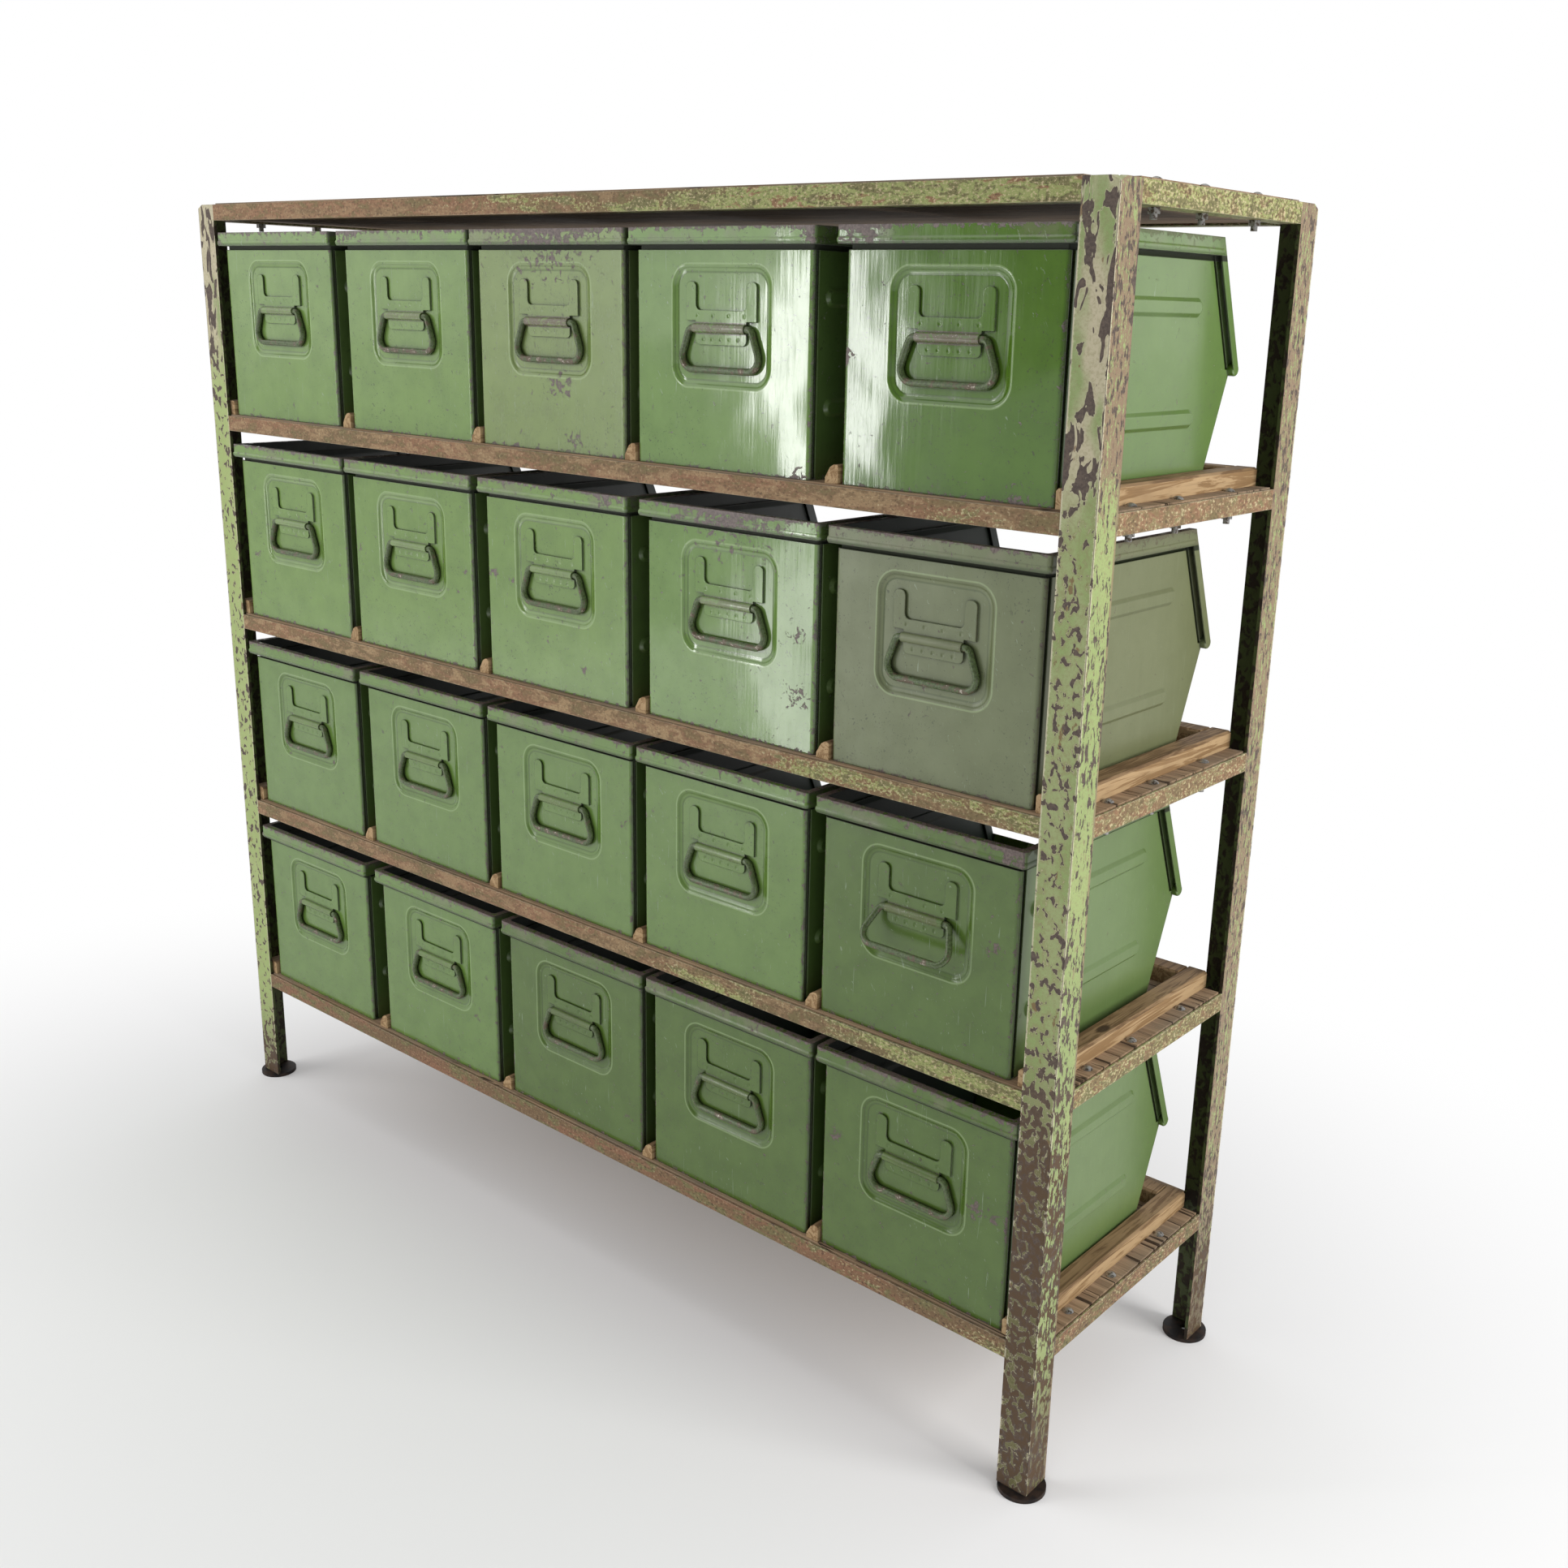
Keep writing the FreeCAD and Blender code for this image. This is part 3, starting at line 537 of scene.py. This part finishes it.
def makeBinPaint(name, origin, look, wear, tunnelWear, bareSpots, sideShade):
    form = binForm
    surface = Surface(name, IOR=look["ior"])
    place = surface.place
    x, y, z = surface.axes(surface.shift(place, tuple(-value for value in origin)))
    nx, ny, nz = surface.axes(surface.normal())
    facing = (0.0 - ny).rise(0.6, 0.9)  # the handle wall and the front of the rim
    broad = surface.noise(place, 5.0, 2.0)
    cloud = surface.noise(place, 22.0, 5.0, 0.6)
    chips = surface.noise(place, 105.0, 6.0, 0.68, 0.6)
    fine = surface.noise(place, 420.0, 4.0)
    runs = surface.noise(surface.stretch(place, (60.0, 60.0, 4.0)), 2.0, 4.0, 0.6)
    colour = surface.mix(cloud.rise(0.30, 0.75), look["paint"], look["deep"])
    colour = surface.mix(runs.rise(0.50, 0.80) * 0.30, colour, look["deep"])
    colour = surface.mix(cloud.rise(0.62, 0.80) * 0.25, colour, form["dust"])
    # Painted shade: inner faces, the groove under the rim and the drawn grooves on the sides are
    # darkened
    innerShade = (nx * x * -8.0).rise(0.5, 0.9)
    innerShade = innerShade.most(ny.rise(0.4, 0.8) * y.rise(0.020, 0.012))
    innerShade = innerShade.most(nz.rise(0.4, 0.8) * z.rise(0.010, 0.004))
    across = x.size()
    foot = form["rimFoot"]
    groove = z.rise(foot - 0.0072, foot - 0.0058) * z.rise(foot + 0.0008, foot - 0.0002)
    half = form["halfWidth"]
    drawn = across.rise(half - 0.0007, half - 0.0013) * across.rise(half - 0.0060, half - 0.0054)
    drawn = drawn * y.rise(0.002, 0.004) * z.rise(0.294, 0.292)
    # Signed distance from the outline of the pressed recess, negative inside
    cornerX = across - (form["halfRecess"] - form["recessRound"])
    cornerZ = (z - form["recess"]).size() - (form["halfRecessHeight"] - form["recessRound"])
    beyondX, beyondZ = cornerX.most(0.0), cornerZ.most(0.0)
    recess = (beyondX * beyondX + beyondZ * beyondZ) ** 0.5 + cornerX.most(cornerZ).least(0.0)
    recess = recess - form["recessRound"]
    lipOut = (recess - form["lipOffset"]).size().rise(0.0016, 0.0006) * facing
    lipIn = (recess + form["lipInset"]).size().rise(0.0018, 0.0006) * facing
    rimTop = (form["height"] - z).size()
    sideEdge = (half - across).size().most(y.size())
    edge = rimTop.least(sideEdge).least(z.size())
    onRim = z.rise(0.272, 0.277)
    corner = across.rise(0.130, 0.158) * onRim
    ribbed = nx.size().rise(0.2, 0.5) * z.rise(0.262, 0.256) * y.rise(0.006, 0.012)
    bent = surface.edges(0.0018, 0.02, 0.20) * (1.0 - ribbed * 0.9)
    wearing = chips + edge.rise(0.008, 0.0) * 0.145 + bent * 0.09
    wearing = wearing + onRim * 0.045 + corner * 0.04 + wear
    for spotX, spotZ, reach in bareSpots:
        away = ((x - spotX) * (x - spotX) + (z - spotZ) * (z - spotZ) * 2.0) ** 0.5
        wearing = wearing + away.rise(reach, 0.0) * facing * 0.17
    worn = wearing.rise(0.665, 0.685)
    flaked = wearing.rise(0.640, 0.665)
    slant = surface.turn(place, (0.3, 0.5, 0.9))
    nicks = surface.noise(surface.stretch(place, (420.0, 420.0, 16.0)), 1.0, 2.0, 0.5, 1.0)
    lines = surface.noise(surface.stretch(slant, (420.0, 420.0, 12.0)), 1.0, 2.0, 0.5, 1.0)
    scratched = nicks.rise(0.715, 0.735).most(lines.rise(0.71, 0.73)) * broad.rise(0.44, 0.54)
    flecks = surface.noise(place, 300.0, 2.0, 0.6).rise(0.685, 0.705) * cloud.rise(0.46, 0.54)
    leaning = surface.stretch(surface.turn(place, (0.9, 0.4, 0.2)), (190.0, 190.0, 30.0))
    gouged = surface.noise(leaning, 1.0, 3.0, 0.6, 1.6).rise(0.640, 0.660) * broad.rise(0.54, 0.46)
    metal = surface.mix(fine.rise(0.35, 0.65), form["bare"], form["bareLight"])
    folded = bent * (facing * 0.35 + 0.2) * chips.rise(0.40, 0.55)
    colour = surface.mix(folded, colour, form["fold"])
    # Painted highlight along the outer lip of the recess and painted shade along its inner ramp
    colour = surface.mix(lipOut * 0.30, colour, form["lipHighlight"])
    colour = surface.mix(lipIn * 0.40, colour, form["lipShade"])
    colour = surface.mix(onRim * cloud.rise(0.45, 0.65) * 0.45, colour, form["rimDust"])
    underBead = z.rise(foot + 0.0065, foot + 0.0015) * onRim.most(z.rise(foot, foot + 0.001))
    colour = surface.mix(underBead * 0.65, colour, form["beadShade"])
    colour = surface.mix(scratched * 0.55, colour, form["pale"])
    flecked = (flaked * 0.6).most(flecks.most(gouged) * 0.8)
    colour = surface.mix(flecked, colour, form["flake"])
    colour = surface.mix(worn, colour, metal)
    bare = (across.rise(form["halfTunnel"] + 0.001, form["halfTunnel"])) * y.rise(0.001, 0.0)
    bare = bare * (z - form["tunnel"]).size().rise(0.0080, 0.0070) * tunnelWear
    # Rubbed steel on the tunnel, its pale specks partly a painted glint
    rubbedGlint = surface.mix(fine.rise(0.60, 0.70), form["brown"], form["rubbedGlint"])
    colour = surface.mix(bare * chips.rise(0.35, 0.50), colour, rubbedGlint)
    sideways = nx.size().rise(0.5, 0.8)
    # Painted light: side walls are blended towards a lighter, paler green, most on the open end
    # walls of the last column
    lit = sideways * (1.0 - sideShade) * 0.55
    colour = surface.mix(lit, colour, look.get("side", form["side"]))
    # Painted shade: in the inner columns the side walls are darkened towards the slot colour
    colour = surface.mix(sideways * sideShade, colour, form["slot"])
    # Painted shade in slits and corners, from the occlusion node
    slit = surface.corners(0.010, 0.30, 0.80) * (1.0 - ribbed * 0.75)
    colour = surface.mix(slit * 0.8, colour, form["paintedShade"])
    # Painted shade in the groove under the rim and in the drawn side grooves
    colour = surface.mix(groove.most(drawn * 0.75), colour, form["paintedShade"])
    # Painted shade inside the bin
    colour = surface.mix(innerShade, colour, form["inside"])
    roughness = surface.blend(worn, (cloud * 0.6 + runs * 0.3 + 0.55) * look["rough"], 0.6)
    roughness = surface.blend(innerShade, roughness, 0.45) + sideways * 0.12
    dented = surface.noise(place, 13.0, 1.0)
    pressed = recess.rise(-0.010, 0.0) * facing * 0.012
    tall = (z * form["floorWave"]).wave()
    pillow = (x * form["acrossWave"] + math.pi / 2).wave() * tall * (form["bulge"] * look["bulge"])
    upright, bowed = look.get("sway", (0.0, 0.0))
    pillow = pillow + x * (tall * bowed + upright)
    dents = broad * 0.020 + dented * 0.008 + runs * 0.0009 + pillow * facing + pressed
    dents = surface.bump(dents, 0.12, 1.0, surface.round(0.0018))
    skin = surface.bump(fine * 0.06 - worn * 0.7 + scratched * 0.1, 0.0004, 0.5, dents)
    roughness = surface.blend(groove, roughness, 0.8)
    return surface.finish(Base_Color=colour, Roughness=roughness, Normal=skin)


# Wire of the pulls: green paint, worn to brown metal where a hand takes it
wireLook = {
    "shelf": 0.217,
    "pitch": 0.344,
    "grip": 0.1235,
    "green": (0.086, 0.124, 0.044),
    "dark": (0.044, 0.063, 0.021),
    "brown": (0.105, 0.078, 0.048),
    "wornGlint": (0.46, 0.43, 0.35),
}


def makeWireSteel(look):
    surface = Surface("wireSteel", Specular_IOR_Level=0.6)
    z = surface.axes(surface.place)[2]
    height = z.maths("MODULO", z - look["shelf"], look["pitch"])
    gripped = (height - look["grip"]).size().rise(0.009, 0.004)
    wear = surface.noise(surface.place, 95.0, 5.0, 0.6)
    fine = surface.noise(surface.place, 420.0, 3.0, 0.6)
    wear = wear + gripped * 0.07 - 0.025
    colour = surface.mix(fine.rise(0.40, 0.62), look["green"], look["dark"])
    colour = surface.mix(wear.rise(0.55, 0.60), colour, look["brown"])
    # Pale specks of worn steel, partly a painted glint
    colour = surface.mix(wear.rise(0.61, 0.67) * fine.rise(0.50, 0.62), colour, look["wornGlint"])
    normal = surface.bump(wear * 0.6 + fine * 0.3, 0.0004, 0.6)
    metallic = wear.rise(0.56, 0.64) * 0.3
    roughness = 0.16 + wear * 0.25
    return surface.finish(
        Base_Color=colour, Roughness=roughness, Metallic=metallic, Normal=normal
    )


def dress(node, material):
    for slot in node.material_slots:
        slot.material = material


nearPostPaint = makePostPaint("nearPostPaint", postLook, 1.20, 0.66, 0.0, 0.12)
leftPostPaint = makePostPaint("leftPostPaint", postLook, 1.28, 0.20, 0.3, 0.55)
rearPostPaint = makePostPaint("rearPostPaint", postLook, 1.45, 0.30, 0.9, 0.0)
plankWood = makePlankWood("plankWood", plankLook)
battenWood = makeBattenWood(battenLook)
boltSteel = makeBoltSteel(boltLook)
footSteel = makeFootSteel(footLook)
wireSteel = makeWireSteel(wireLook)
for name, node in nodes.items():
    if name == "post_front_right":
        dress(node, nearPostPaint)
    elif name == "post_front_left":
        dress(node, leftPostPaint)
    elif name.startswith("post"):
        dress(node, rearPostPaint)
    elif name in railTones:
        dress(node, makeRailPaint("paint_" + name, railLook, *railTones[name]))
    elif name.startswith("boards"):
        dress(node, plankWood)
    elif name.startswith("battens"):
        dress(node, battenWood)
    elif name.startswith("bail"):
        dress(node, wireSteel)
dress(nodes["foot_discs"], footSteel)
dress(nodes["carriage_bolts"], boltSteel)
for row in range(len(binLooks)):
    for column in range(len(binLooks[row])):
        tag = "r%d_c%d" % (row + 1, column + 1)
        low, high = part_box("bin_" + tag)
        origin = ((low[0] + high[0]) / 2, low[1] + binForm["rimReach"], low[2])
        green, *wearing = binLooks[row][column]
        # Inner columns get painted shade on their side walls; the last column's open end walls do
        # not
        sideShade = binForm["slotShade"] if column < len(binLooks[row]) - 1 else 0.0
        paint = makeBinPaint("binPaint_" + tag, origin, greens[green], *wearing, sideShade)
        dress(nodes["bin_" + tag], paint)
print("materials made")


# Floor, backdrop and light

stageLook = {
    "reach": 40.0,
    "floor": (0.81, 0.80, 0.79),
    "middle": (0.3, -0.8),
    "fadeFrom": 0.9,
    "fadeTo": 2.3,
    "level": 0.70,
    "across": (-0.77, 0.64, 0.0),
    "wallFrom": -0.11,
    "wallTo": -0.02,
    "ahead": 0.15,
}


def makeStage(look):
    surface = Surface("stage", Roughness=0.6, Specular_IOR_Level=0.3)
    floorMesh = bpy.data.meshes.new("floor")
    reach = look["reach"]
    floorMesh.from_pydata(
        [(-reach, -reach, 0), (reach, -reach, 0), (reach, reach, 0), (-reach, reach, 0)],
        [], [(0, 1, 2, 3)],
    )
    floor = bpy.data.objects.new("floor", floorMesh)
    bpy.context.collection.objects.link(floor)
    x, y = surface.axes(surface.place)[:2]
    acrossX, acrossY = x - look["middle"][0], y - look["middle"][1]
    away = (acrossX * acrossX + acrossY * acrossY) ** 0.5
    far = away.rise(look["fadeFrom"], look["fadeTo"])
    seen = surface.add("ShaderNodeLightPath", {}, {}, "Is Camera Ray")
    white = surface.add("ShaderNodeEmission", {}, {"Color": (1.0, 1.0, 1.0), "Strength": 1.0})
    shader = Socket(surface, surface.shader.outputs[0])
    surface.finish(Base_Color=look["floor"])
    mixed = surface.add("ShaderNodeMixShader", {}, {0: far * seen, 1: shader, 2: white})
    surface.tree.links.new(mixed.output, surface.tree.nodes["Material Output"].inputs[0])
    floorMesh.materials.append(surface.material)


# White behind the object and in its gloss, a plain level for its light.
# The room is dark straight ahead of the bins, where the gloss shows no white.
def makeWorld(look):
    world = bpy.data.worlds.new("studio")
    bpy.context.scene.world = world
    world.use_nodes = True
    tree = world.node_tree

    def add(kind, settings, values, output=0):
        node = tree.nodes.new(kind)
        for key, value in settings.items():
            setattr(node, key, value)
        for key, value in values.items():
            if isinstance(value, bpy.types.NodeSocket):
                tree.links.new(value, node.inputs[key])
            else:
                node.inputs[key].default_value = value
        return node.outputs[output]

    level = tree.nodes["Background"]
    level.inputs["Color"].default_value = (0.95, 0.97, 1.0, 1.0)
    level.inputs["Strength"].default_value = look["level"]
    direction = add("ShaderNodeTexCoord", {}, {}, "Generated")
    values = {0: direction, 1: look["across"]}
    across = add("ShaderNodeVectorMath", {"operation": "DOT_PRODUCT"}, values, "Value")
    values = {
        "Value": across,
        "From Min": look["wallFrom"],
        "From Max": look["wallTo"],
        "To Min": look["ahead"],
    }
    wall = add("ShaderNodeMapRange", {"interpolation_type": "SMOOTHSTEP"}, values)
    gloss = add("ShaderNodeBackground", {}, {"Strength": wall})
    gloss.node.inputs["Color"].default_value = (1.0, 1.0, 1.0, 1.0)
    white = add("ShaderNodeBackground", {}, {"Color": (1.0, 1.0, 1.0, 1.0), "Strength": 1.0})
    ray = tree.nodes.new("ShaderNodeLightPath").outputs
    values = {0: ray["Is Glossy Ray"], 1: ray["Is Transmission Ray"]}
    shiny = add("ShaderNodeMath", {"operation": "MAXIMUM"}, values)
    lit = add("ShaderNodeMixShader", {}, {0: shiny, 1: level.outputs[0], 2: gloss})
    seen = add("ShaderNodeMixShader", {}, {0: ray["Is Camera Ray"], 1: lit, 2: white})
    tree.links.new(seen, tree.nodes["World Output"].inputs[0])


# Place, target, size and power; the last value says if the gloss shows it
lightLook = {
    "windowLight": ((-1.46, -2.515, 1.52), (0.49, -0.228, 1.52), (0.19, 1.60), 8.5, True),
    "lowWindowLight": ((-1.44, -2.53, 0.36), (0.49, -0.228, 0.36), (0.34, 0.60), 1.6, True),
    "wallLight": ((-3.2, -3.2, 2.2), (-0.2, 0.0, 0.9), (3.0, 2.4), 80.0, False),
    "sideLight": ((4.2, 0.4, 2.2), (0.3, 0.0, 0.9), (2.0, 2.4), 130.0, False),
}


def makeLight(name, place, target, size, power, inGloss):
    light = bpy.data.lights.new(name, "AREA")
    light.shape = "RECTANGLE"
    light.size, light.size_y = size
    light.energy = power
    holder = bpy.data.objects.new(name, light)
    holder.location = place
    holder.rotation_euler = (Vector(target) - Vector(place)).to_track_quat("-Z", "Y").to_euler()
    holder.visible_camera = False
    holder.visible_glossy = inGloss
    bpy.context.collection.objects.link(holder)


makeStage(stageLook)
makeWorld(stageLook)
for name, values in lightLook.items():
    makeLight(name, *values)


# Camera as the photograph was taken

cameraFit = {
    "place": (1.7403, -1.7257, 1.45525),
    "yaw": 0.6901,
    "pitch": 0.2809,
    "roll": 0.0267,
    "lens": 36.72,
    "shift": (-0.0262, -0.0113),
}


def makeCamera(fit):
    yaw, pitch, roll = fit["yaw"], fit["pitch"], fit["roll"]
    right = Vector((math.cos(yaw), math.sin(yaw), 0))
    level = Vector((-math.sin(yaw), math.cos(yaw), 0))
    ahead = level * math.cos(pitch) - Vector((0, 0, math.sin(pitch)))
    above = right.cross(ahead)
    turnedRight = right * math.cos(roll) + above * math.sin(roll)
    turnedUp = above * math.cos(roll) - right * math.sin(roll)
    camera = bpy.data.objects.new("camera", bpy.data.cameras.new("camera"))
    turn = Matrix((turnedRight, turnedUp, -ahead)).transposed()
    camera.matrix_world = Matrix.Translation(fit["place"]) @ turn.to_4x4()
    camera.data.lens = fit["lens"]
    camera.data.sensor_width = 36.0
    camera.data.shift_x, camera.data.shift_y = fit["shift"]
    bpy.context.collection.objects.link(camera)
    bpy.context.scene.camera = camera


makeCamera(cameraFit)
bpy.context.scene.view_settings.view_transform = "Standard"
print("stage set")
